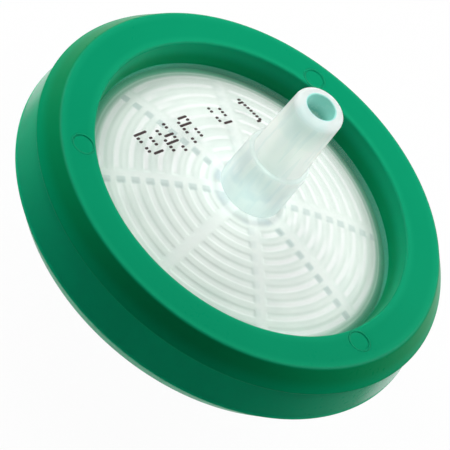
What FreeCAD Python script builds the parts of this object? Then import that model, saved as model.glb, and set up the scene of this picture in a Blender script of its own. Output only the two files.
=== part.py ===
import FreeCAD, Part
import math
import os

# Disc-shaped syringe filter: two polypropylene halves with a membrane between
# them, held by a ring moulded over their flanges. Millimetres, +Z up. The axis
# of the disc is Z, the outlet spout points up, and the part stands on the rim
# of its inlet port at Z = 0.

V = FreeCAD.Vector
UP = V(0, 0, 1)
ORIGIN = V(0, 0, 0)

# --- overall sizes -----------------------------------------------------------
ring_radius = 17.0          # at the lip
ring_height = 6.5
port_height = 7.2           # the inlet port's length below the ring
spout_height = 9.8          # the spout's tip above the ring's upper face

# --- overmoulded ring --------------------------------------------------------
ring_width = 3.98           # from the lip to the rim of the recess
shoulder_width = 1.12       # from the lip to the outer edge of the flat face
shoulder_drop = 1.62        # from the flat face down to the lip
opening_draft = 0.34        # how much narrower the recess is at the window
lip_height = 0.2
lip_overhang = 0.24         # the wall under the upper lip is set back by this
wall_flare = 0.35           # the wall widens by this down to the lower edge
edge_rounding = 0.35
rim_rounding = 0.22
ejector_mark_radius = 0.85
ejector_mark_depth = 0.07
ejector_mark_inset = 1.1    # from the rim of the recess to a mark's centre
ejector_mark_count = 3
ejector_mark_angle = 28.5

# --- window and flange, the same on both halves -------------------------------
flange_grip = 2.02          # how far the flange reaches into the ring
window_depth = 2.04         # recess of the window's edge below the ring's face
window_rise = 1.77          # how far the window bulges at its centre
window_wall = 0.6           # wall over the grooves
groove_pitch = 1.094
groove_width = 0.55
first_groove_radius = 3.11
channel_width = 1.1
channel_count = 8           # even: each cut makes two channels
membrane_margin = 0.18      # the membrane stays this far inside the window's edge
membrane_thickness = 0.15
membrane_clearance = 0.1    # round the membrane's edge in its pocket

# --- male luer slip spout ------------------------------------------------------
luer_tip_radius = 1.975
luer_taper = 0.03           # change of radius with length: a 6 % cone
spout_bore_radius = 1.145
spout_nose_rounding = 0.45
boss_height = 3.81          # its ledge above the ring's upper face
boss_ledge = 0.385          # how far the boss stands out round the cone
boss_draft = 0.04
boss_edge_rounding = 0.2
boss_foot_rounding = 0.5

# --- female luer-lock port -----------------------------------------------------
port_mouth_radius = 2.15    # the socket's cone at its mouth
port_wall = 1.15
port_floor = 0.5            # between the socket's end and the grooves
port_foot_rounding = 0.8
port_mouth_chamfer = 0.2
inlet_bore_radius = 1.0
lug_projection = 0.6        # how far a lug stands out from the port
lug_root_height = 1.4
lug_crest_height = 0.8
lug_length = 3.4            # round the port
lug_setback = 0.1           # from the mouth to a lug's lowest edge
lug_lead = 5.0              # climb in a full turn
lug_sections = 7

# --- places that follow --------------------------------------------------------
opening_radius = ring_radius - ring_width
face_radius = ring_radius - shoulder_width
window_radius = opening_radius - opening_draft
flange_radius = window_radius + flange_grip
membrane_radius = window_radius - membrane_margin
ring_bottom = port_height
ring_top = ring_bottom + ring_height
split = ring_bottom + ring_height / 2 + membrane_thickness / 2
spout_tip = ring_top + spout_height
window_edge_top = ring_top - window_depth
window_edge_bottom = ring_bottom + window_depth
dome_radius = (window_radius ** 2 + window_rise ** 2) / (2 * window_rise)
groove_room = membrane_radius - groove_width / 2 - first_groove_radius
groove_count = int(groove_room // groove_pitch) + 1
channel_reach = first_groove_radius + groove_pitch * (groove_count - 1) + groove_width / 2


def dome_height(r):
    """Height of the window's outside above its edge at radius r."""
    return math.sqrt(dome_radius ** 2 - r ** 2) - (dome_radius - window_rise)


def turned(start, *moves):
    """Solid of revolution about Z.

    The outline starts at the point start = (r, z). Each move is the next point
    (r, z) for a straight run, or a pair of points (on the arc, its end).
    """
    edges = []
    first = here = V(start[0], 0, start[1])
    for move in moves:
        if isinstance(move[0], tuple):
            via, end = (V(r, 0, z) for r, z in move)
            edges.append(Part.Arc(here, via, end).toShape())
        else:
            end = V(move[0], 0, move[1])
            edges.append(Part.LineSegment(here, end).toShape())
        here = end
    if not here.isEqual(first, 1e-7):
        edges.append(Part.LineSegment(here, first).toShape())
    return Part.Face(Part.Wire(edges)).revolve(ORIGIN, UP, 360)


def quarter(centre, radius, from_angle, to_angle):
    """An arc about centre for turned(): its middle and its end."""
    points = []
    for angle in ((from_angle + to_angle) / 2, to_angle):
        a = math.radians(angle)
        points.append((centre[0] + radius * math.cos(a), centre[1] + radius * math.sin(a)))
    return tuple(points)


def dome_arc(r_from, r_to, height_at):
    """The window's section from one radius to another for turned()."""
    r_mid = (r_from + r_to) / 2
    return tuple((r, height_at(dome_height(r))) for r in (r_mid, r_to))


def tube(r_outer, r_inner, z_from, z_to):
    height = z_to - z_from
    outer = Part.makeCylinder(r_outer, height, V(0, 0, z_from))
    return outer.cut(Part.makeCylinder(r_inner, height, V(0, 0, z_from)))


def fan(shape, count, first=0.0, sweep=360.0):
    """Copies of a shape turned about Z, evenly over sweep degrees."""
    copies = []
    for i in range(count):
        copy = shape.copy()
        copy.rotate(ORIGIN, UP, first + sweep * i / count)
        copies.append(copy)
    return copies


def groove_cuts(base, height_at):
    """Ring grooves and radial channels on the inside of a window.

    base is the height of the rib tips, and height_at turns a height above the
    window's edge into a height of the part.
    """
    cuts = []
    for i in range(groove_count):
        r = first_groove_radius + groove_pitch * i
        roof = height_at(dome_height(r) - window_wall)
        low, high = sorted((base, roof))
        cuts.append(tube(r + groove_width / 2, r - groove_width / 2, low, high))
    reach = channel_reach
    ends = [V(x, 0, z) for x, z in (
        (-reach, height_at(dome_height(reach) - window_wall)), (-reach, base),
        (reach, base), (reach, height_at(dome_height(reach) - window_wall)))]
    crown = V(0, 0, height_at(window_rise - window_wall))
    edges = [Part.LineSegment(a, b).toShape() for a, b in zip(ends, ends[1:])]
    edges.append(Part.Arc(ends[3], crown, ends[0]).toShape())
    section = Part.Face(Part.Wire(edges))
    section.translate(V(0, -channel_width / 2, 0))
    slot = section.extrude(V(0, channel_width, 0))
    return cuts + fan(slot, channel_count // 2, sweep=180.0)


def make_overmould_ring():
    upper_lip = ring_top - shoulder_drop
    lower_lip = ring_bottom + shoulder_drop
    under_lip = upper_lip - lip_height
    wall_top = ring_radius - lip_overhang
    wall_bottom = wall_top + wall_flare
    rim = rim_rounding
    e = edge_rounding
    # a tangent arc between each flat face and its shoulder
    upper_slope = math.degrees(math.atan2(shoulder_drop, ring_radius - face_radius))
    lower_slope = math.degrees(math.atan2(shoulder_drop, wall_bottom - face_radius))
    upper_face = face_radius - e * math.tan(math.radians(upper_slope / 2))
    lower_face = face_radius - e * math.tan(math.radians(lower_slope / 2))
    upper_arc = quarter((upper_face, ring_top - e), e, 90, 90 - upper_slope)
    lower_arc = quarter((lower_face, ring_bottom + e), e, -90, lower_slope - 90)
    body = turned(
        (opening_radius + rim, ring_top),
        (upper_face, ring_top),
        upper_arc,
        (ring_radius, upper_lip),
        (ring_radius, under_lip),
        (wall_top, under_lip - lip_overhang / 2),
        (wall_bottom, lower_lip),
        lower_arc[1],
        (lower_arc[0], (lower_face, ring_bottom)),
        (opening_radius + rim, ring_bottom),
        quarter((opening_radius + rim, ring_bottom + rim), rim, 270, 180),
        (window_radius, window_edge_bottom),
        (flange_radius, window_edge_bottom),
        (flange_radius, window_edge_top),
        (window_radius, window_edge_top),
        (opening_radius, ring_top - rim),
        quarter((opening_radius + rim, ring_top - rim), rim, 180, 90),
    )
    mark = Part.makeCylinder(
        ejector_mark_radius, ejector_mark_depth,
        V(opening_radius + ejector_mark_inset, 0, ring_top - ejector_mark_depth))
    return body.cut(fan(mark, ejector_mark_count, ejector_mark_angle))


def make_outlet_housing():
    def height_at(h):
        return window_edge_top + h

    ledge = ring_top + boss_height
    length = spout_tip - ledge
    cone_foot = luer_tip_radius + luer_taper * length
    boss_radius = cone_foot + boss_ledge
    foot = boss_foot_rounding
    edge = boss_edge_rounding
    nose = spout_nose_rounding
    boss_foot_radius = boss_radius + boss_draft * boss_height
    dome_start = boss_foot_radius + foot
    foot_centre = (dome_start, height_at(dome_height(dome_start)) + foot)
    body = turned(
        (0, split),
        (flange_radius, split),
        (flange_radius, window_edge_top),
        (window_radius, window_edge_top),
        dome_arc(window_radius, dome_start, height_at),
        quarter(foot_centre, foot, 270, 180),
        (boss_radius, ledge - edge),
        quarter((boss_radius - edge, ledge - edge), edge, 0, 90),
        (cone_foot, ledge),
        (luer_tip_radius, spout_tip - nose),
        quarter((luer_tip_radius - nose, spout_tip - nose), nose, 0, 90),
        (0, spout_tip),
    )
    bore = Part.makeCylinder(spout_bore_radius, spout_tip - split, V(0, 0, split))
    return body.cut(groove_cuts(split, height_at) + [bore])


def make_filter_membrane():
    return Part.makeCylinder(membrane_radius, membrane_thickness,
                             V(0, 0, split - membrane_thickness))


def make_lug(port_radius):
    """A luer-lock lug: a trapezoid section that climbs round the port's mouth."""
    root = port_radius - port_wall / 2
    crest = port_radius + lug_projection
    sweep = math.degrees(lug_length / crest)
    sections = []
    for i in range(lug_sections):
        turn = sweep * i / (lug_sections - 1)
        middle = lug_setback + lug_root_height / 2 + lug_lead * turn / 360
        corners = [V(r, 0, middle + h / 2) for r, h in (
            (root, -lug_root_height), (crest * 1.02, -lug_crest_height),
            (crest * 1.02, lug_crest_height), (root, lug_root_height))]
        section = Part.makePolygon(corners + corners[:1])
        section.rotate(ORIGIN, UP, turn - sweep / 2)
        sections.append(section)
    lug = Part.makeLoft(sections, True, True)
    return lug.common(Part.makeCylinder(crest, port_height))


def make_inlet_housing():
    def height_at(h):
        return window_edge_bottom - h

    tips = split - membrane_thickness
    port_radius = port_mouth_radius + port_wall
    foot = port_foot_rounding
    dome_start = port_radius + foot
    foot_centre = (dome_start, height_at(dome_height(dome_start)) - foot)
    body = turned(
        (0, 0),
        (port_radius - port_mouth_chamfer, 0),
        (port_radius, port_mouth_chamfer),
        (port_radius, foot_centre[1]),
        quarter(foot_centre, foot, 180, 90),
        dome_arc(dome_start, window_radius, height_at),
        (flange_radius, window_edge_bottom),
        (flange_radius, split),
        (0, split),
    )
    for lug in fan(make_lug(port_radius), 2):
        body = body.fuse(lug)
    port_depth = height_at(window_rise - window_wall) - port_floor
    socket_end_radius = port_mouth_radius - luer_taper * port_depth
    socket = Part.makeCone(port_mouth_radius, socket_end_radius, port_depth)
    bore = Part.makeCylinder(inlet_bore_radius, split)
    pocket = Part.makeCylinder(membrane_radius + membrane_clearance, membrane_thickness,
                               V(0, 0, tips))
    return body.cut(groove_cuts(tips, height_at) + [socket, bore, pocket])


def main():
    os.makedirs("parts", exist_ok=True)
    nodes = {
        "overmould_ring": make_overmould_ring(),
        "outlet_housing": make_outlet_housing(),
        "filter_membrane": make_filter_membrane(),
        "inlet_housing": make_inlet_housing(),
    }
    for name, shape in nodes.items():
        if len(shape.Solids) == 1:
            shape = shape.Solids[0]
        shape.exportStep("parts/" + name + ".step")
        box = shape.BoundBox
        print(name, "solids", len(shape.Solids), "valid", shape.isValid(),
              "volume %.1f" % shape.Volume, "z %.3f to %.3f" % (box.ZMin, box.ZMax))


main()
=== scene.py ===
import math
import bpy
import numpy as np
from mathutils import Matrix, Vector


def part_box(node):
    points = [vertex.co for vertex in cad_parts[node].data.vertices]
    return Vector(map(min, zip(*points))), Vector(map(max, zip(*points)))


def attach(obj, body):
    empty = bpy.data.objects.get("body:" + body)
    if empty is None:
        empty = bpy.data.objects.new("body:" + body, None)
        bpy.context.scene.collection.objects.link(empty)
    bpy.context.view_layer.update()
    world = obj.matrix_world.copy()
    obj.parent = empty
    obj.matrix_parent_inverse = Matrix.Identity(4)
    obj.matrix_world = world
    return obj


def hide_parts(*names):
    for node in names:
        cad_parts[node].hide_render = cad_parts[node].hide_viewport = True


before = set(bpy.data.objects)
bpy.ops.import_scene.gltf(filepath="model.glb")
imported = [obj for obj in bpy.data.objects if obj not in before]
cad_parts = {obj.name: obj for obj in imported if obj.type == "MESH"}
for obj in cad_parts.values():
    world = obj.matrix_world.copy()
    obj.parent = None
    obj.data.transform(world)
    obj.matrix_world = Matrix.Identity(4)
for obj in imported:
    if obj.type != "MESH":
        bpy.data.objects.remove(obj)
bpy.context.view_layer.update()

# Disc-shaped syringe filter: a clear polypropylene window with a luer spout above,
# a luer-lock port below, and a green ring moulded round both halves.
# Settings are in millimetres and degrees, and colours are sRGB from 0 to 255; the meshes
# are made in metres.

mm = 0.001
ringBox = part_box("overmould_ring")
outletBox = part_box("outlet_housing")
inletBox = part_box("inlet_housing")
ringTop = ringBox[1].z / mm
ringBottom = ringBox[0].z / mm
spoutTip = outletBox[1].z / mm
splitPlane = outletBox[0].z / mm
portMouth = inletBox[0].z / mm


def arc(centre, radius, start, end, steps):
    # Points centre + radius * (cos a, sin a), a running evenly from start to end degrees.
    a = np.radians(np.linspace(start, end, steps + 1))
    return np.column_stack([centre[0] + radius * np.cos(a), centre[1] + radius * np.sin(a)])


def run(start, end, steps=1):
    # Points spread evenly on the straight line from start to end.
    t = np.linspace(0, 1, steps + 1)[:, None]
    return np.asarray(start) * (1 - t) + np.asarray(end) * t


def outline(*parts):
    # The parts one after another, without a point twice in a row.
    points = np.vstack(parts)
    keep = np.r_[True, np.hypot(*np.diff(points, axis=0).T) > 1e-6]
    return points[keep]


def turnedGrid(profile, columns):
    # Row i, column j is (r cos a, r sin a, z): the profile's point i turned by angle j.
    a = np.linspace(0, 2 * np.pi, columns, endpoint=False)
    r, z = profile[:, 0, None], profile[:, 1, None]
    return np.stack([r * np.cos(a), r * np.sin(a), z + 0 * a], axis=-1)


def turnedOver(points):
    # The same points below the ring's middle: z becomes top + bottom - z, and the rows run
    # the other way, so that the faces still point outwards.
    over = points[::-1].copy()
    over[..., -1] = ringTop + ringBottom - over[..., -1]
    return over


def gridFaces(rows, columns, closedRows, offset):
    # Quads between neighbouring rows and columns; columns always join round the axis.
    i = np.arange(rows if closedRows else rows - 1)[:, None]
    j = np.arange(columns)[None, :]
    iNext, jNext = (i + 1) % rows, (j + 1) % columns
    corners = [i * columns + j, iNext * columns + j, iNext * columns + jNext, i * columns + jNext]
    return np.stack(corners, axis=-1).reshape(-1, 4) + offset


def gridPiece(name, grids, material, sharp=32):
    # Grids are (points, closedRows) in millimetres. Points in the same place become one
    # vertex, so a row that meets in a point turns its quads into triangles.
    stepsPerMm = 2e4  # two points are the same where they round to the same step
    vertices, faces, start = [], [], 0
    for points, closedRows in grids:
        rows, columns = points.shape[:2]
        vertices.append(points.reshape(-1, 3))
        faces.append(gridFaces(rows, columns, closedRows, start))
        start += rows * columns
    vertices, faces = np.vstack(vertices), np.vstack(faces)
    _, first, same = np.unique(np.round(vertices * stepsPerMm).astype(np.int64), axis=0,
                               return_index=True, return_inverse=True)
    vertices, faces = vertices[first], same.reshape(-1)[faces]
    inPole, outPole = faces[:, 0] == faces[:, 3], faces[:, 1] == faces[:, 2]
    quads = faces[~inPole & ~outPole]
    triangles = np.vstack([faces[inPole & ~outPole][:, [0, 1, 2]],
                           faces[outPole & ~inPole][:, [0, 1, 3]]])
    mesh = bpy.data.meshes.new(name)
    mesh.from_pydata((vertices * mm).tolist(), [], quads.tolist() + triangles.tolist())
    mesh.polygons.foreach_set("use_smooth", np.ones(len(mesh.polygons), bool))
    mesh.set_sharp_from_angle(angle=math.radians(sharp))
    mesh.materials.append(material)
    mesh.update()
    piece = bpy.data.objects.new(name, mesh)
    bpy.context.scene.collection.objects.link(piece)
    print("piece", name, len(quads) * 2 + len(triangles), "triangles")
    return piece


def settle(piece, slot, *nodes):
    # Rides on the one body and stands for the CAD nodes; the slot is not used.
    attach(piece, "root")
    if nodes:
        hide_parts(*nodes)


class Sock:
    # A number socket in a node tree; an expression on it adds its Math nodes.
    def __init__(self, shop, socket):
        self.shop, self.socket = shop, socket

    def __add__(self, other): return self.shop.maths("ADD", self, other)
    def __radd__(self, other): return self.shop.maths("ADD", other, self)
    def __sub__(self, other): return self.shop.maths("SUBTRACT", self, other)
    def __rsub__(self, other): return self.shop.maths("SUBTRACT", other, self)
    def __mul__(self, other): return self.shop.maths("MULTIPLY", self, other)
    def __rmul__(self, other): return self.shop.maths("MULTIPLY", other, self)
    def __truediv__(self, other): return self.shop.maths("DIVIDE", self, other)
    def __rtruediv__(self, other): return self.shop.maths("DIVIDE", other, self)
    def __pow__(self, other): return self.shop.maths("POWER", self, other)
    def __abs__(self): return self.shop.maths("ABSOLUTE", self)


class Shop:
    # Makes the nodes of one material or world.
    def __init__(self, holder):
        holder.use_nodes = True
        self.holder, self.tree = holder, holder.node_tree
        self.tree.nodes.clear()

    def node(self, kind, settings=None, *values, out=0, at=None, **named):
        # Settings come first, then values or links: by order, by number (at) or by name.
        made = self.tree.nodes.new(kind)
        for key, value in (settings or {}).items():
            if key == "stops":
                ramp = made.color_ramp.elements
                while len(ramp) < len(value):
                    ramp.new(0.5)
                for element, (place, colour) in zip(ramp, value):
                    element.position, element.color = place, colour
            else:
                setattr(made, key, value)
        filled = dict(enumerate(values))
        filled.update(at or {})
        filled.update({key.replace("_", " "): value for key, value in named.items()})
        for key, value in filled.items():
            if isinstance(value, Sock):
                self.tree.links.new(value.socket, made.inputs[key])
            else:
                made.inputs[key].default_value = value
        if isinstance(out, tuple):
            return [Sock(self, made.outputs[i]) for i in out]
        return Sock(self, made.outputs[out]) if made.outputs else None

    def maths(self, operation, *values):
        # One Math node on numbers or sockets.
        return self.node("ShaderNodeMath", dict(operation=operation), *values)

    def where(self):
        # Object coordinates as a vector in metres.
        return self.node("ShaderNodeTexCoord", out=3)

    def place(self):
        # The same vector, then x, y, z and the radius sqrt(x^2 + y^2) in millimetres.
        where = self.where()
        x, y, z = (s / mm for s in self.node("ShaderNodeSeparateXYZ", None, where, out=(0, 1, 2)))
        return where, x, y, z, (x * x + y * y) ** 0.5

    def step(self, value, low, high):
        # 0 below low, 1 above high, smooth between them.
        settings = dict(interpolation_type="SMOOTHSTEP")
        return self.node("ShaderNodeMapRange", settings, value, low, high)

    def band(self, value, low, high, soft):
        # 1 between low and high, fading over soft on either side.
        return self.step(value, low - soft, low) * (1 - self.step(value, high, high + soft))

    def noise(self, where, scale, detail=3.0, roughness=0.5):
        # Soft random lumps from 0 to 1, scale of them to a metre.
        return self.node("ShaderNodeTexNoise", None, Vector=where, Scale=scale, Detail=detail,
                         Roughness=roughness)

    def streaks(self, where, scale):
        # The same lumps drawn out along the axis: streaks of painted shade where a clear wall
        # bends the light.
        drawn = self.node("ShaderNodeMapping", None, where, at={3: (1.0, 1.0, 0.12)})
        return self.noise(drawn, scale)

    def mix(self, factor, a, b):
        # a * (1 - factor) + b * factor; a and b are sRGB colours or colour sockets.
        a, b = (c if isinstance(c, Sock) else tint(c) for c in (a, b))
        return self.node("ShaderNodeMix", dict(data_type="RGBA", blend_type="MIX"),
                         at={0: factor, 6: a, 7: b}, out=2)

    def coats(self, colour, *layers):
        # Each layer is (share, colour), laid over the ones before it.
        for share, layer in layers:
            colour = self.mix(share, colour, layer)
        return colour

    def bump(self, height, strength, depth, **under):
        # Tilts the normal as if the surface rose by height * depth metres.
        return self.node("ShaderNodeBump", None, Strength=strength, Distance=depth,
                         Height=height, **under)

    def surface(self, **inputs):
        # The main shader; its name's underscores stand for spaces.
        return self.node("ShaderNodeBsdfPrincipled", None, **inputs)

    def frosted(self, share, **inputs):
        # Frosted plastic with a low index, so that what is behind it shows little bent; its
        # emission is on, for a painted glow.
        glass = self.surface(IOR=1.18, Transmission_Weight=0.85, Emission_Strength=1.0, **inputs)
        return self.clearToLamps(glass, share)

    def clearToLamps(self, shader, share):
        # The share of lamp light that goes straight through, so the shadow stays pale.
        shadow = self.node("ShaderNodeLightPath", out=1)
        clear = self.node("ShaderNodeBsdfTransparent", None, Color=(share, share, share, 1))
        return self.node("ShaderNodeMixShader", None, shadow, shader, clear)

    def seen(self):
        # 1 for what the camera sees directly, mirrored or through plastic, and the last two.
        direct, mirrored, through = self.node("ShaderNodeLightPath", out=(0, 3, 6))
        either = self.maths("MAXIMUM", direct, mirrored)
        return self.maths("MAXIMUM", either, through), mirrored, through

    def finish(self, shader, kind="ShaderNodeOutputMaterial"):
        # Links the shader to the output and returns the material or world.
        self.node(kind, None, shader)
        return self.holder


def materialShop(name):
    # The shop of a new material.
    return Shop(bpy.data.materials.new(name))


def tint(colour):
    # An sRGB colour of 0 to 255 as the linear values that a socket takes.
    c = np.array(colour) / 255.0
    linear = np.where(c <= 0.04045, c / 12.92, ((c + 0.055) / 1.055) ** 2.4)
    return (*[float(v) for v in linear], 1.0)


ring = dict(
    columns=720, openingRadius=13.02, windowRadius=12.68, faceRadius=15.88, lipRadius=17.0,
    windowDepth=2.04, shoulderDrop=1.62, lipHeight=0.2, lipOverhang=0.24, wallFlare=0.35,
    rimRounding=0.22, edgeRounding=0.35, lipRounding=0.1, coveRounding=0.12, footRounding=0.14,
    markRadius=0.88, markDepth=0.05, markSoft=0.16, markPlace=14.1,
    markAngles=(28.5, 148.5, 268.5), flashHeight=0.08,
    # After plastic, these colours are painted light and shade on the green.
    plastic=((8, 152, 107), (14, 160, 113)), faceBorderHighlight=(30, 176, 128), recess=(0, 132, 82),
    behindWindowLight=(56, 186, 158), shoulder=(2, 146, 90), shoulderEdgeLight=(0, 168, 118),
    wall=(0, 176, 125), wallFootLight=(10, 196, 140),
    cloudScale=90.0, grainScale=2600.0, grainHeight=0.04, roughness=0.26, gloss=0.5,
)
ringLip = ringTop - ring["shoulderDrop"]  # height of the lip below the shoulder


def greenPlastic():
    # Green plastic in soft clouds, its tone following radius and height with painted light
    # and shade: a painted highlight at the face's borders, painted light on the wall, at its
    # foot, on the shoulder's outer half and behind the window, and painted shade on the
    # shoulder and in the recess.
    s = ring
    shop = materialShop("greenOvermould")
    where, x, y, z, r = shop.place()
    clouds = shop.noise(where, s["cloudScale"])
    grain = shop.noise(where, s["grainScale"], 2.0)
    onFace = shop.step(z, ringTop - 0.12, ringTop - 0.02)
    border = (shop.step(r, s["faceRadius"] - 0.75, s["faceRadius"] - 0.1)
              + 1 - shop.step(r, s["openingRadius"] + 0.2, s["openingRadius"] + 0.8))
    inside = 1 - shop.step(r, s["openingRadius"] + 0.02, s["openingRadius"] + 0.06)
    low = 1 - shop.step(z, ringTop - 1.5, ringTop - 0.5)
    seat = ringTop - s["windowDepth"]
    behind = 1 - shop.step(z, seat - 0.04, seat + 0.02)
    onShoulder = shop.step(r, s["faceRadius"] - 0.05, s["faceRadius"] + 0.1)
    outer = shop.step(r, s["faceRadius"] + 0.5, s["lipRadius"] - 0.08)
    wall = (1 - shop.step(z, ringLip - 0.04, ringLip)) * shop.step(r, 14.5, 15.0)
    wallLow = ringBottom + s["shoulderDrop"]
    aboveFoot = shop.step(z, wallLow + 0.15, wallLow + 0.4)
    colour = shop.coats(
        shop.mix(clouds, *s["plastic"]),
        # painted highlight along the face's borders
        (border * onFace * 0.35, s["faceBorderHighlight"]),
        # painted shade low in the recess
        (inside * low * 0.9, s["recess"]),
        # painted light, paler where the ring lies behind the window's clear wall
        (inside * behind * 0.7, s["behindWindowLight"]),
        # painted shade over the shoulder
        (onShoulder, s["shoulder"]),
        # painted light on the shoulder's outer half
        (outer * 0.6, s["shoulderEdgeLight"]),
        # painted light on the wall
        (wall, s["wall"]),
        # painted light, stronger at the wall's foot
        ((1 - aboveFoot) * wall, s["wallFootLight"]),
    )
    flash = 0.0  # the thin raised rim of each ejector mark
    for angle in s["markAngles"]:
        a = math.radians(angle)
        dx, dy = x - s["markPlace"] * math.cos(a), y - s["markPlace"] * math.sin(a)
        flash = flash + shop.band((dx * dx + dy * dy) ** 0.5, s["markRadius"] - 0.04,
                                  s["markRadius"], 0.09)
    marked = shop.bump(flash, 1.0, s["flashHeight"] * mm)
    aside = shop.step(shop.node("ShaderNodeLayerWeight", None, 0.5, out=1), 0.68, 0.82)
    onWall = 1 - shop.step(z, ringLip - 0.3, ringLip - 0.1)
    return shop.finish(shop.surface(
        Base_Color=colour, Roughness=s["roughness"] + 0.06 * clouds + 0.05 * (grain - 0.5),
        Normal=shop.bump(grain, 0.12, s["grainHeight"] * mm, Normal=marked), IOR=1.09,
        Coat_Weight=aside * onWall * aboveFoot * s["gloss"], Coat_Roughness=0.12))


def ringProfile():
    # The ring's section, clockwise in (r, z) from the window's seat: up the recess, out
    # over the face, down the shoulder, lip and wall, and back below.
    s = ring
    e, rim = s["edgeRounding"], s["rimRounding"]
    lipRound, cove, foot = s["lipRounding"], s["coveRounding"], s["footRounding"]
    wallTop = s["lipRadius"] - s["lipOverhang"]
    wallBottom = wallTop + s["wallFlare"]
    wallLow = ringBottom + s["shoulderDrop"]
    under = ringLip - s["lipHeight"]
    slope = math.atan2(s["shoulderDrop"], s["lipRadius"] - s["faceRadius"])
    lowSlope = math.atan2(s["shoulderDrop"], wallBottom - s["faceRadius"])
    faceEnd = s["faceRadius"] - e * math.tan(slope / 2)
    lowEnd = s["faceRadius"] - e * math.tan(lowSlope / 2)
    topArc = arc((faceEnd, ringTop - e), e, 90, 90 - math.degrees(slope), 7)
    lowArc = arc((lowEnd, ringBottom + e), e, math.degrees(lowSlope) - 90, -90, 6)
    seatHigh = (s["windowRadius"], ringTop - s["windowDepth"])
    seatLow = (s["windowRadius"], ringBottom + s["windowDepth"])
    faceStart = s["openingRadius"] + rim
    return outline(
        run(seatHigh, (s["openingRadius"], ringTop - rim), 8),
        arc((faceStart, ringTop - rim), rim, 180, 90, 7),
        run((faceStart, ringTop), (faceEnd, ringTop), 24),
        topArc,
        run(topArc[-1], (s["lipRadius"] - 0.06, ringLip + 0.08), 6),
        arc((s["lipRadius"] - lipRound, ringLip - 0.02), lipRound, 40, -60, 4),
        run((s["lipRadius"] - 0.03, under), (wallTop + 0.05, under - 0.02), 2),
        arc((wallTop + cove, under - cove - 0.02), cove, 100, 180, 3),
        run((wallTop + 0.02, under - 0.3), (wallBottom - 0.02, wallLow + 0.16), 8),
        arc((wallBottom - foot, wallLow + 0.1), foot, 10, -70, 4),
        run((wallBottom - 0.12, wallLow - 0.1), lowArc[0], 6),
        lowArc,
        run((lowEnd, ringBottom), (faceStart, ringBottom), 5),
        arc((faceStart, ringBottom + rim), rim, 270, 180, 5),
        run((s["openingRadius"], ringBottom + rim), seatLow, 4),
        run(seatLow, seatHigh, 4),
    )[:-1]


def makeRing(material):
    # The section carried round the axis; each ejector mark is a disc let into the face by
    # markDepth * clip((markRadius - distance) / markSoft + 1/2, 0, 1).
    s = ring
    grid = turnedGrid(ringProfile(), s["columns"])
    onFace = np.abs(grid[..., 2] - ringTop) < 1e-6
    for angle in s["markAngles"]:
        a = math.radians(angle)
        centre = s["markPlace"] * math.cos(a), s["markPlace"] * math.sin(a)
        away = np.hypot(grid[..., 0] - centre[0], grid[..., 1] - centre[1])
        sunk = np.clip((s["markRadius"] - away) / s["markSoft"] + 0.5, 0, 1)
        grid[..., 2] -= s["markDepth"] * sunk * onFace
    piece = gridPiece("ringBody", [(grid, True)], material)
    settle(piece, "green_overmould", "overmould_ring")


window = dict(
    radius=12.66, rise=1.77, wall=0.6, skin=0.5, rimGap=0.02, seat=0.06, floorGap=0.02,
    skinColumns=256, heartRings=(0, 1.5, 2.8), edgeRings=(12.0, 12.2, 12.4),
    ribRings=(-0.42, -0.33, -0.27, -0.2, -0.1, 0, 0.1, 0.2, 0.27, 0.33, 0.42, 0.547),
    channelLines=(0.0, 0.25, 0.42, 0.5, 0.58, 0.7), sectorLines=14,
    ribEdge=(0.11, 0.09), channelEdge=0.08,
    pitch=1.094, firstRib=3.66, ribs=8, ribHalf=0.27, ribSink=0.045, channelHalf=0.5,
    channels=8, ribField=(3.2, 11.6), heartRadius=2.7, heartEdge=3.2, reliefAngle=-39.0,
    # Of these colours, the sector greys, the middle's, the groove shade, the rib line, the rib
    # end, the glint and the glows are painted light and shade; the edge and rim bands are partly
    # the ring's green, partly its painted reflection.
    paintedSectorShade=(245, 246, 247, 242, 234, 246, 247, 246, 246), patch=(206, 224, 218),
    heartShade=((200, 209, 205), (178, 194, 199)), grooveShade=(196, 214, 203),
    channel=(250, 253, 251), ribHighlight=(255, 255, 255), ribEndShade=(176, 200, 197),
    edge=(186, 216, 200), rim=(96, 178, 146), rimOuter=(24, 150, 108), glint=(214, 238, 226),
    glow=(76, 78, 77), rimGlow=(20, 66, 50), heartGlow=(20, 22, 24), skinTint=(244, 252, 248),
)
domeRadius = (window["radius"] ** 2 + window["rise"] ** 2) / (2 * window["rise"])
windowEdge = ringTop - ring["windowDepth"]


def dome(r):
    # Height of the window's outside above its edge: a circle's arc through both.
    return np.sqrt(domeRadius ** 2 - r ** 2) - (domeRadius - window["rise"])


def smooth(value, low, high):
    # t * t * (3 - 2 t), where t goes from 0 at low to 1 at high.
    t = np.clip((value - low) / (high - low), 0, 1)
    return t * t * (3 - 2 * t)


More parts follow.
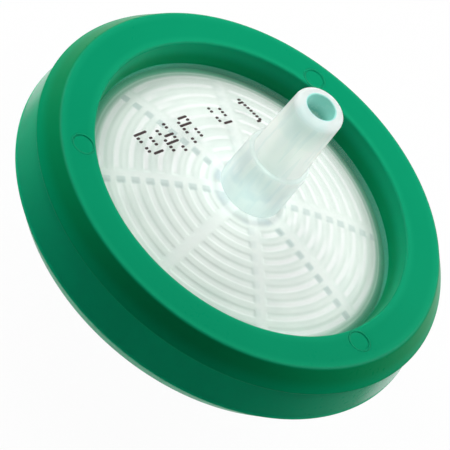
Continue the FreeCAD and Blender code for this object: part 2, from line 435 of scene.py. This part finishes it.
def reliefMaterial():
    # Rib and groove colours follow the radius; the channels follow the angle to the
    # nearest of eight spokes. The light and shade beside the ribs is painted, as they show
    # through the clear wall from the side of reliefAngle, a direction fixed on the object
    # that is also the view's azimuth: facing is the cosine of the angle to it. Painted too:
    # highlights along the ribs, dark reflections at the rib ends beside each channel, shade
    # that differs from sector to sector, a bluish shade in the middle under the spout, a
    # highlight line near the rim, and a glow over the relief, green towards the rim and less
    # in the middle. The green at the edge and rim is partly the ring under the clear edge and
    # partly its painted reflection.
    s = window
    shop = materialShop("windowRelief")
    where, x, y, _, r = shop.place()
    angle = shop.maths("ARCTAN2", y, x)
    sector = 2 * math.pi / s["channels"]
    nearest = shop.maths("ROUND", angle / sector) * sector
    across = shop.maths("SINE", angle - nearest) * r
    a = math.radians(s["reliefAngle"])
    spokeFacing = shop.maths("COSINE", nearest - a)
    spokeSide = abs(shop.maths("SINE", a - nearest))
    facing = (x * math.cos(a) + y * math.sin(a)) / r
    wobble = shop.noise(where, 700.0, 2.0) - 0.5
    seen = r + 0.05 * wobble

    def line(distance, half, soft):
        # 1 within half of the line's middle, fading over soft.
        return 1 - shop.step(abs(distance), half, half + soft)

    def circle(middle, half, soft):
        # A line along every circle at firstRib + middle and a whole number of pitches.
        turns = (seen - s["firstRib"] - middle) / s["pitch"] + 20.5
        return line((shop.maths("FRACT", turns) - 0.5) * s["pitch"], half, soft)

    inRibs = shop.band(r, *s["ribField"], 0.25)
    offChannel = shop.step(abs(across), 0.55, 0.9)
    side = shop.step(facing, -0.45, -0.15)
    front = shop.step(facing, 0.45, 0.8)
    # painted highlights along the ribs, placed by facing
    nearLine = circle(0.1, 0.1, 0.16) * side * (1 - 0.6 * front)
    farLine = circle(0.47, 0.08, 0.15) * (1 - shop.step(facing, -0.3, -0.05))
    nearShade = (circle(-0.2, 0.03, 0.12) + circle(0.42, 0.03, 0.12)) * side
    farShade = circle(0.12, 0.05, 0.14) * (1 - side) * 0.8
    ribHighlight = (nearLine + farLine) * inRibs * offChannel
    shade = (nearShade + farShade) * inRibs * offChannel
    # painted dark reflections at the rib ends, on one side of each channel
    ribEndShade = (circle(0.12 - 0.36 * spokeFacing, 0.27, 0.1)
              * line(across - 0.5 * shop.maths("SINE", a - nearest), 0.24, 0.1)
              * shop.step(spokeSide, 0.5, 0.9) * inRibs)
    # painted shade that differs from sector to sector
    turn = shop.maths("FRACT", angle / (2 * math.pi) + 1.0)
    places = [0.0] + [(k + 0.5) / s["channels"] for k in range(s["channels"])] + [1.0]
    shades = s["paintedSectorShade"] + s["paintedSectorShade"][:1]
    stops = [(t, tint((g - 8, g, g - 6))) for t, g in zip(places, shades)]
    # painted bluish shade in the middle under the spout, which also takes less glow
    heartShade = 1 - shop.step(r, s["heartRadius"], s["heartEdge"])
    spots = shop.step(shop.noise(where, 520.0, 2.0), 0.42, 0.66)
    colour = shop.coats(
        shop.node("ShaderNodeValToRGB", dict(stops=stops), turn),
        (shop.step(shop.noise(where, 320.0), 0.4, 0.75) * 0.3, s["patch"]),
        (heartShade * 0.85, shop.mix(spots, *s["heartShade"])),
        (shade * (0.2 - 0.12 * front), s["grooveShade"]),
        ((1 - shop.step(abs(across), 0.3, 0.5)) * 0.35, s["channel"]),
        (ribHighlight * 0.8, s["ribHighlight"]),
        (ribEndShade * (0.66 + 0.4 * wobble), s["ribEndShade"]),
        # edge and rim: partly the clear edge with the ring's green under it, partly a painted
        # reflection of that green; the glint is a painted highlight
        (shop.step(seen, 11.6, 11.95), s["edge"]),
        (shop.step(seen, 12.0, 12.35), s["rim"]),
        (shop.step(seen, 12.25, 12.6), s["rimOuter"]),
        (shop.band(seen, 12.02, 12.08, 0.08) * 0.6, s["glint"]),
    )
    # painted glow that lifts the relief's shade: green towards the rim, less in the middle
    glow = shop.mix(shop.step(seen, 11.4, 12.3), s["glow"], s["rimGlow"])
    return shop.finish(shop.surface(
        Base_Color=colour, Roughness=0.45, Specular_IOR_Level=0.3,
        Emission_Color=shop.mix(heartShade, glow, s["heartGlow"]), Emission_Strength=1.0))


def windowGrid():
    # The roof's height is the dome less the wall; between two grooves a rib sinks by
    # ribSink. Columns follow the channels' straight sides: their angle is asin(offset / r).
    s = window
    ribs = s["firstRib"] + s["pitch"] * np.arange(s["ribs"])
    ribRings = (ribs[:, None] + np.array(s["ribRings"])).ravel()
    r = np.r_[s["heartRings"], ribRings, s["edgeRings"], s["radius"]]
    r = np.unique(np.round(r, 4))[:, None]
    sector = 2 * np.pi / s["channels"]
    shares = np.linspace(0, 1, s["sectorLines"] + 1)[1:]
    spread = np.maximum(r, s["heartRings"][-1])  # nearer the axis the columns keep their angle
    near = np.arcsin(np.array(s["channelLines"]) / spread)
    rest = near[:, -1:] + shares * (sector / 2 - near[:, -1:])
    half = np.hstack([near, rest])
    whole = np.hstack([half, sector - half[:, -2:0:-1]])
    a = np.hstack([whole + k * sector for k in range(s["channels"])])
    across = np.abs(spread * np.sin(a - np.round(a / sector) * sector))
    place = (r - s["firstRib"]) / s["pitch"]
    fromRib = np.abs(place - np.clip(np.round(place), 0, s["ribs"] - 1)) * s["pitch"]
    (inEdge, outEdge), soft = s["ribEdge"], s["channelEdge"]
    rib = 1 - smooth(fromRib, s["ribHalf"] - inEdge, s["ribHalf"] + outEdge)
    sunk = s["ribSink"] * rib * smooth(across, s["channelHalf"] - soft, s["channelHalf"] + soft)
    z = windowEdge + dome(r) - s["wall"] - sunk
    return np.stack([r * np.cos(a), r * np.sin(a), z], axis=-1)


def makeRelief(name, below, material):
    # The window's grid, closed by a flat disc at the split, or turned over below it.
    top = windowGrid()
    under = top[[-1, 0]].copy()
    under[..., 2] = splitPlane + window["floorGap"]
    grid = np.concatenate([top, under])
    piece = gridPiece(name, [(turnedOver(grid) if below else grid, False)], material)
    settle(piece, "white_membrane")


def skinPlastic():
    # The thin clear window wall: hardly any colour, a little more where it is seen aside.
    shop = materialShop("windowSkin")
    where, *_, r = shop.place()
    flow = shop.noise(where, 300.0)
    aside = shop.node("ShaderNodeLayerWeight", None, 0.35, out=1)
    inField = shop.step(r, 3.2, 4.5) * (1 - shop.step(r, 10.8, 12.0))
    return shop.finish(shop.surface(
        Base_Color=tint(window["skinTint"]), Roughness=0.14 + 0.1 * flow,
        Alpha=0.05 + 0.03 * flow + 0.17 * aside * inField,
        Normal=shop.bump(flow, 0.06, 0.05 * mm)))


def makeSkin(name, below, inner, rows, material):
    # The clear wall over the relief: the dome from its rim to the radius inner, and the
    # same line lower by skin, turned round the axis, or turned over for the lower window.
    out = np.linspace(window["radius"] - window["rimGap"], inner, rows)
    high = windowEdge + dome(out)
    low = high - window["skin"]
    section = outline(np.column_stack([out[::-1], high[::-1]]), np.column_stack([out, low]))
    section = np.roll(section, rows, axis=0)
    if below:
        section = turnedOver(section)
    return gridPiece(name, [(turnedGrid(section, window["skinColumns"]), True)], material)


spout = dict(
    tipRadius=1.975, taper=0.03, boreRadius=1.145, noseRounding=0.45, boreRounding=0.1,
    bossLedge=0.385, bossDraft=0.018, bossHeight=3.81, bossEdge=0.2, ledgeRounding=0.08,
    skinGap=0.01, skinRows=44, columns=192, lampsThrough=0.9, flowScale=420.0,
    fineScale=2400.0, streakScale=1300.0, grainHeight=0.03,
    # Beside the plastic's own tones these hold painted shade (streaks, patches at the foot, a
    # collar, the sole, the ledge), a painted reflection of the ring's green in the bore, and
    # painted glows.
    plastic=((232, 234, 231), (246, 242, 237)), streak=(204, 215, 218), boss=(212, 220, 220),
    patch=(190, 204, 208), collarShade=(192, 212, 212), soleShade=(194, 209, 206), nose=(222, 225, 228),
    ledge=(214, 222, 218), bore=((36, 160, 140), (128, 220, 210)), speck=(176, 236, 230),
    deepBore=(240, 246, 244), lowGlow=(38, 40, 40), highGlow=(98, 97, 96),
    noseGlow=(104, 104, 104), boreGlow=((20, 52, 48), (58, 98, 94)),
)
ledgeHeight = ringTop + spout["bossHeight"]


def milkyPlastic():
    # Natural polypropylene in a thick wall. Light passes through it scattered; a painted glow
    # stands in for that light, brighter high up, along the streaks and at the nose. The bore's
    # teal is a painted reflection of the ring's green through its wall; painted shade lies in
    # patches at the boss's foot, on a collar below the nose, on the sole and on the ledge, and
    # the streaks along the axis are painted shade where the wall bends the light.
    s = spout
    shop = materialShop("milkyPolypropylene")
    where, _, _, z, r = shop.place()
    flow = shop.noise(where, s["flowScale"])
    fine = shop.noise(where, s["fineScale"], 2.0)
    streaks = shop.streaks(where, s["streakScale"])
    boss = 1 - shop.step(z, ledgeHeight - 0.8, ledgeHeight - 0.1)
    foot = 1 - shop.step(z, ringTop + 0.6, ledgeHeight - 0.3)
    shadePatches = shop.step(shop.noise(where, 650.0, 2.0), 0.45, 0.7)
    collarShade = shop.band(z, spoutTip - 2.4, spoutTip - 1.0, 0.7)
    soleShade = 1 - shop.step(z, ringTop, ringTop + 1.6)
    nose = shop.step(z, spoutTip - 0.7, spoutTip - 0.3)
    ledge = shop.band(z, ledgeHeight - 0.06, ledgeHeight + 0.04, 0.06)
    front = 1 - shop.node("ShaderNodeNewGeometry", out=6)
    inBore = 1 - shop.step(r, s["boreRadius"] + 0.05, s["boreRadius"] + 0.15)
    deep = 1 - shop.step(z, spoutTip - 2.5, spoutTip - 1.5)
    mouth = shop.step(z, spoutTip - 1.9, spoutTip - 0.7)
    # painted reflection of the ring's green in the bore, with lighter specks; plain deeper down
    bore = shop.coats(
        shop.mix(mouth, *s["bore"]),
        (shop.step(fine, 0.5, 0.7) * 0.35, s["speck"]),
        (deep, s["deepBore"]),
    )
    colour = shop.coats(
        shop.mix(flow, *s["plastic"]),
        # painted shade in streaks, where the wall bends the light
        (shop.step(streaks, 0.5, 0.6) * 0.65, s["streak"]),
        (boss * 0.4, s["boss"]),
        # painted shade in patches at the boss's foot
        (foot * shadePatches * 0.7, s["patch"]),
        # painted shade on a band below the nose
        (collarShade * 0.45, s["collarShade"]),
        # painted shade at the boss's sole, where it meets the window
        (soleShade * 0.6, s["soleShade"]),
        (nose, s["nose"]),
        # painted shade on the lit ledge
        (ledge, s["ledge"]),
        (inBore * front, bore),
    )
    high = shop.step(z, ledgeHeight - 1.8, ledgeHeight + 0.6) * (0.75 + 0.5 * streaks)
    # painted glow standing in for light scattered through the plastic: brighter high up, along
    # the streaks and at the nose, teal in the bore
    glow = shop.coats(
        shop.mix(high, s["lowGlow"], s["highGlow"]),
        (nose, s["noseGlow"]),
        (inBore, shop.mix(mouth, *s["boreGlow"])),
    )
    return shop.finish(shop.frosted(
        s["lampsThrough"], Base_Color=colour, Roughness=0.3 + 0.1 * flow + 0.2 * foot,
        Normal=shop.bump(fine, 0.08, s["grainHeight"] * mm), Emission_Color=glow))


def makeOutlet(skin, milky):
    # The window's clear wall is one turned shell; the spout, a boss, a ledge and a cone
    # whose radius is tipRadius + taper * distance from the tip, is another with its bore.
    s = spout
    coneFoot = s["tipRadius"] + s["taper"] * (spoutTip - ledgeHeight)
    bossRadius = coneFoot + s["bossLedge"]
    footRadius = bossRadius + s["bossDraft"] * s["bossHeight"]
    skinStart = footRadius + s["skinGap"]
    footHeight = windowEdge + dome(skinStart)
    low = windowEdge + dome(footRadius) - window["seat"]
    nose, edge, rim = s["noseRounding"], s["bossEdge"], s["boreRounding"]
    turn = s["ledgeRounding"]
    shell = makeSkin("outletShell", False, skinStart, s["skinRows"], skin)
    settle(shell, "clear_polypropylene", "outlet_housing")
    outside = outline(
        run((footRadius - 0.02, low), (footRadius, footHeight + 0.05), 4),
        run((footRadius, footHeight + 0.05), (bossRadius, ledgeHeight - edge), 12),
        arc((bossRadius - edge, ledgeHeight - edge), edge, 0, 90, 6),
        run((bossRadius - edge, ledgeHeight), (coneFoot + 0.06, ledgeHeight), 2),
        arc((coneFoot + turn, ledgeHeight + turn), turn, 250, 180, 3),
        run((coneFoot, ledgeHeight + 0.1),
            (s["tipRadius"] + s["taper"] * nose, spoutTip - nose), 16),
        arc((s["tipRadius"] - nose, spoutTip - nose), nose, 2, 90, 9),
    )
    bore = outline(
        run((s["tipRadius"] - nose, spoutTip), (s["boreRadius"] + rim, spoutTip), 3),
        arc((s["boreRadius"] + rim, spoutTip - rim), rim, 90, 180, 4),
        run((s["boreRadius"], spoutTip - 0.2), (s["boreRadius"], low), 16),
        run((s["boreRadius"], low), (footRadius - 0.02, low), 2),
    )
    profile = outline(outside, bore)[:-1][::-1]  # reversed, so that the faces point outwards
    piece = gridPiece("outletSpout", [(turnedGrid(profile, s["columns"]), True)], milky)
    settle(piece, "clear_polypropylene", "outlet_housing")


port = dict(
    mouthRadius=2.15, depth=7.57, wall=1.15, taper=0.03, foot=0.8, chamfer=0.2,
    boreRadius=1.0, floor=0.5, floorGap=0.04, skinGap=0.01, skinRows=36, columns=192,
    lugReach=3.9, lugRoot=1.4, lugCrest=0.8, lugSink=0.15, lugEdge=0.05, lugLength=3.4,
    lugSetback=0.1, lugLead=5.0, lugSteps=25, streakScale=900.0,
    plastic=((214, 226, 222), (236, 242, 238)), streak=(198, 214, 214), rim=(246, 249, 248),
    # painted glow, stronger at the rim
    glow=(60, 63, 62), rimGlow=(80, 83, 82),
)


def portPlastic():
    # The same natural plastic in the port: frosted, with a paler rim at its mouth and a
    # painted glow, stronger there, in place of light scattered through it.
    s = port
    shop = materialShop("frostedPort")
    where, _, _, z, _ = shop.place()
    flow = shop.noise(where, spout["flowScale"])
    fine = shop.noise(where, spout["fineScale"], 2.0)
    rim = 1 - shop.step(z, portMouth + 0.1, portMouth + 0.5)
    colour = shop.coats(
        shop.mix(flow, *s["plastic"]),
        # painted shade in streaks, where the wall bends the light
        (shop.step(shop.streaks(where, s["streakScale"]), 0.48, 0.62) * 0.5, s["streak"]),
        (rim * 0.6, s["rim"]),
    )
    return shop.finish(shop.frosted(
        spout["lampsThrough"], Base_Color=colour, Roughness=0.35 + 0.1 * flow,
        Normal=shop.bump(fine, 0.08, spout["grainHeight"] * mm),
        Emission_Color=shop.mix(rim, s["glow"], s["rimGlow"])))


def lugGrid(turn):
    # A trapezoid section carried round the port by lugLength at its crest, while it climbs
    # by lugLead in a full turn; the flat ends shrink to a point.
    s = port
    root, crest, edge = s["mouthRadius"] + s["wall"] - s["lugSink"], s["lugReach"], s["lugEdge"]
    high, low = s["lugRoot"] / 2, s["lugCrest"] / 2
    loop = np.array([(root, -high), (crest - edge, -low), (crest, -low + edge),
                     (crest, low - edge), (crest - edge, low), (root, high)])
    sweep = s["lugLength"] / crest
    t = np.r_[0.0, np.linspace(0, 1, s["lugSteps"]), 1.0]
    size = np.r_[0.0, np.ones(s["lugSteps"]), 0.0]
    middle = loop.mean(axis=0)
    section = middle + (loop - middle) * size[:, None, None]
    a = (math.radians(turn) + (t - 0.5) * sweep)[:, None]
    climb = portMouth + s["lugSetback"] + high + s["lugLead"] * t * sweep / (2 * math.pi)
    r = section[..., 0]
    return np.stack([r * np.cos(a), r * np.sin(a), section[..., 1] + climb[:, None]], axis=-1)


def makeInlet(skin, frosted):
    # The lower window's clear wall is one turned shell; the port is another, with two
    # climbing lugs and a socket whose radius is mouthRadius - taper * depth below the mouth.
    s = port
    outerRadius = s["mouthRadius"] + s["wall"]
    start = outerRadius + s["foot"]
    windowLow = ringTop + ringBottom - windowEdge
    footTop = windowLow - dome(start)
    seat = footTop + window["seat"]
    footHeight = footTop - s["foot"]
    shell = makeSkin("inletShell", True, start + s["skinGap"], s["skinRows"], skin)
    settle(shell, "inlet_polypropylene", "inlet_housing")
    mouthRim = (outerRadius - s["chamfer"], portMouth)
    floor = portMouth + s["depth"]
    roof = floor + s["floor"] - s["floorGap"]
    socketEnd = s["mouthRadius"] - s["taper"] * s["depth"]
    profile = outline(
        run(mouthRim, (outerRadius, portMouth + s["chamfer"]), 3),
        run((outerRadius, portMouth + s["chamfer"]), (outerRadius, footHeight), 14),
        arc((start, footHeight), s["foot"], 180, 90, 8),
        run((start, footTop), (start, seat)),
        run((start, seat), (s["boreRadius"], roof), 6),
        run((s["boreRadius"], roof), (s["boreRadius"], floor), 2),
        run((s["boreRadius"], floor), (socketEnd, floor), 3),
        run((socketEnd, floor), (s["mouthRadius"], portMouth), 14),
        run((s["mouthRadius"], portMouth), mouthRim, 3),
    )[:-1][::-1]
    grids = [(turnedGrid(profile, s["columns"]), True)]
    grids += [(lugGrid(turn), False) for turn in (0.0, 180.0)]
    settle(gridPiece("inletPort", grids, frosted), "inlet_polypropylene", "inlet_housing")


membrane = dict(
    plastic=((236, 240, 236), (250, 252, 249)), fibreScale=5200.0, fibreHeight=0.02,
    roughness=0.8,
)


def membranePlastic():
    # Fine rough noise as the felted fibres of the filter disc.
    s = membrane
    shop = materialShop("membraneFibre")
    fibre = shop.noise(shop.where(), s["fibreScale"], 4.0, 0.7)
    return shop.finish(shop.surface(
        Base_Color=shop.mix(fibre, *s["plastic"]), Roughness=s["roughness"],
        Normal=shop.bump(fibre, 0.3, s["fibreHeight"] * mm)))


def dressMembrane(material):
    # The CAD disc keeps its shape and takes the new material.
    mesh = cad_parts["filter_membrane"].data
    mesh.materials.clear()
    mesh.materials.append(material)


marks = dict(
    start=(-3.31, -8.87), lineAngle=121.0, stackAngle=30.0, width=0.115, height=0.02,
    cells=(0.0, 1.87, 4.1, 7.7), rowCounts=(7, 9, 8, 6), rowPitch=0.33,
    rows=("dash", "left", "both", "right", "both", "left", "short", "both"),
    dash=(0.55, 0.5), short=(0.75, 0.35), left=(0.1, 0.04), right=(1.05, 0.04),
    lastCell=11.4, lastDots=8, lastStep=(0.05, 0.31), lastHalf=0.06,
    lastEnds=((-0.25, 0.3, 0.05), (0.1, 2.3, 0.12)), columns=16,
    rings=((0.0, -0.6), (1.0, -0.6), (1.0, 0.2), (0.85, 0.75), (0.55, 1.0), (0.0, 1.0)),
    ink=((40, 22, 24), (66, 44, 44)), lampsThrough=0.85,
)


def inkPaint():
    # Dark ink, mixed from two tones by a fine noise.
    s = marks
    shop = materialShop("inkMarks")
    speck = shop.noise(shop.where(), 3000.0, 2.0)
    ink = shop.surface(Base_Color=shop.mix(speck, *s["ink"]), Roughness=0.5 + 0.2 * speck)
    return shop.finish(shop.clearToLamps(ink, s["lampsThrough"]))


def markSpots():
    # One row (along the line, down the stack, half length) for each dot or dash; a cell's
    # rows repeat the pattern in rows, shifted by three from one cell to the next. The last
    # cell is one stroke of dots, lastStep apart, with the lastEnds as its flag and foot.
    s = marks
    spots = []
    for k, (cell, count) in enumerate(zip(s["cells"], s["rowCounts"])):
        for j in range(count):
            row = s["rows"][(j + 3 * k) % len(s["rows"])]
            for name in ("left", "right") if row == "both" else (row,):
                along, half = s[name]
                spots.append((cell + along, j * s["rowPitch"], half))
    along, down = s["lastStep"]
    spots += [(s["lastCell"] + along * i, down * i, s["lastHalf"]) for i in range(s["lastDots"])]
    spots += [(s["lastCell"] + along, down, half) for along, down, half in s["lastEnds"]]
    return np.array(spots)


def makeMarks(material):
    # The dots and dashes, each a low capsule that follows the dome: its rim is
    # width * (cos a, sin a) with its halves drawn apart to the dash's length, and each of
    # the rings is that rim times share, raised by lift * height. They run from the
    # underside up, because the stack lies clockwise of the line: so the faces point out.
    s = marks
    angles = np.radians([s["lineAngle"], s["stackAngle"]])
    u, v = np.column_stack([np.cos(angles), np.sin(angles)])
    spots = markSpots()
    centre = np.array(s["start"]) + spots[:, :1] * u + spots[:, 1:2] * v
    share, lift = np.array(s["rings"]).T
    a = np.linspace(0, 2 * np.pi, s["columns"], endpoint=False)
    rim = np.stack([np.cos(a), np.sin(a)], axis=-1) * s["width"]
    grids = []
    for (x, y), half in zip(centre, spots[:, 2]):
        stretch = np.where(np.cos(a) > 0, half, -half)
        flat = rim[:, :1] * u + stretch[:, None] * u + rim[:, 1:] * v
        xy = np.array([x, y]) + share[:, None, None] * flat
        z = windowEdge + dome(np.hypot(xy[..., 0], xy[..., 1])) + lift[:, None] * s["height"]
        grids.append((np.concatenate([xy, z[..., None]], axis=-1), False))
    settle(gridPiece("inkDots", grids, material, sharp=60), "white_membrane")


studio = dict(
    floorSize=900.0, floorShade=(245, 245, 245), floorGlow=0.97, worldGrey=0.07,
    ceilingGlow=0.12, lampDistance=120.0, lampSize=95.0,
    lamps=(("leftSoftbox", -149.0, 36.0, 0.8), ("rightSoftbox", 92.0, 42.0, 0.75)),
)
view = dict(
    target=(2.910, -2.048, ringLip), azimuth=-39.012, elevation=41.925, roll=40.596,
    distance=252.36, lens=277.56,
)


def makeFloor():
    # A flat pale sheet that the camera sees white; the shadow stays in its diffuse part.
    shop = materialShop("paleFloor")
    seen = shop.seen()[0]
    sheet = shop.node("ShaderNodeBsdfDiffuse", None, Color=tint(studio["floorShade"]))
    glow = shop.node("ShaderNodeEmission", None, Color=(1, 1, 1, 1), Strength=1.0)
    shader = shop.node("ShaderNodeMixShader", None, seen * studio["floorGlow"], sheet, glow)
    half = studio["floorSize"] / 2 * mm
    corners = [(-half, -half, 0), (half, -half, 0), (half, half, 0), (-half, half, 0)]
    mesh = bpy.data.meshes.new("studioFloor")
    mesh.from_pydata(corners, [], [(0, 1, 2, 3)])
    mesh.materials.append(shop.finish(shader))
    floor = bpy.data.objects.new("studioFloor", mesh)
    bpy.context.scene.collection.objects.link(floor)


def makeWorld():
    # Strength is worldGrey as light on the object and 1 where the world is seen, falling to
    # ceilingGlow high up in mirrored rays.
    world = bpy.data.worlds.new("studioWorld")
    bpy.context.scene.world = world
    shop = Shop(world)
    seen, mirrored, through = shop.seen()
    direction = shop.node("ShaderNodeTexCoord")
    height = shop.node("ShaderNodeSeparateXYZ", None, direction, out=2)
    ceiling = shop.step(height, 0.25, 0.7) * mirrored * (1 - through)
    white = seen * (1 - (1 - studio["ceilingGlow"]) * ceiling)
    strength = studio["worldGrey"] * (1 - seen) + white
    shade = shop.node("ShaderNodeBackground", None, Color=(1, 1, 1, 1), Strength=strength)
    shop.finish(shade, "ShaderNodeOutputWorld")


def aim(place, target, roll=0.0):
    # Looks along the line to the target with its up side towards +Z, then rolled.
    back = (Vector(place) - Vector(target)).normalized()
    right = Vector((0, 0, 1)).cross(back).normalized()
    up = back.cross(right)
    turn = Matrix.Rotation(math.radians(roll), 3, back)
    frameAxes = Matrix((turn @ right, turn @ up, back)).transposed()
    return Matrix.Translation(place) @ frameAxes.to_4x4()


def polar(azimuth, elevation, distance):
    # distance * (cos e cos a, cos e sin a, sin e).
    a, e = math.radians(azimuth), math.radians(elevation)
    return Vector((math.cos(e) * math.cos(a), math.cos(e) * math.sin(a), math.sin(e))) * distance


def makeLights():
    # A lamp's share is the brightness that it gives a white sheet facing it, so its power
    # is share * (pi * distance)^2.
    s = studio
    distance = s["lampDistance"] * mm
    centre = Vector((0, 0, ringTop * mm))
    for name, azimuth, elevation, share in s["lamps"]:
        lamp = bpy.data.lights.new(name, "AREA")
        lamp.shape = "DISK"
        lamp.size = s["lampSize"] * mm
        lamp.energy = share * (math.pi * distance) ** 2
        softbox = bpy.data.objects.new(name, lamp)
        softbox.matrix_world = aim(centre + polar(azimuth, elevation, distance), centre)
        bpy.context.scene.collection.objects.link(softbox)


def makeCamera():
    # A long lens aimed at the target from the view's azimuth and elevation, then rolled.
    target = Vector(view["target"]) * mm
    place = target + polar(view["azimuth"], view["elevation"], view["distance"] * mm)
    camera = bpy.data.cameras.new("studioCamera")
    camera.lens = view["lens"]
    camera.clip_start, camera.clip_end = 0.01, 10
    eye = bpy.data.objects.new("studioCamera", camera)
    eye.matrix_world = aim(place, target, view["roll"])
    bpy.context.scene.collection.objects.link(eye)
    bpy.context.scene.camera = eye
    bpy.context.scene.view_settings.view_transform = "Standard"


makeRing(greenPlastic())
relief = reliefMaterial()
makeRelief("outletRelief", False, relief)
makeRelief("inletRelief", True, relief)
skin = skinPlastic()
makeOutlet(skin, milkyPlastic())
makeInlet(skin, portPlastic())
dressMembrane(membranePlastic())
makeMarks(inkPaint())
print("pieces made")
makeFloor()
makeWorld()
makeLights()
makeCamera()
print("studio made")
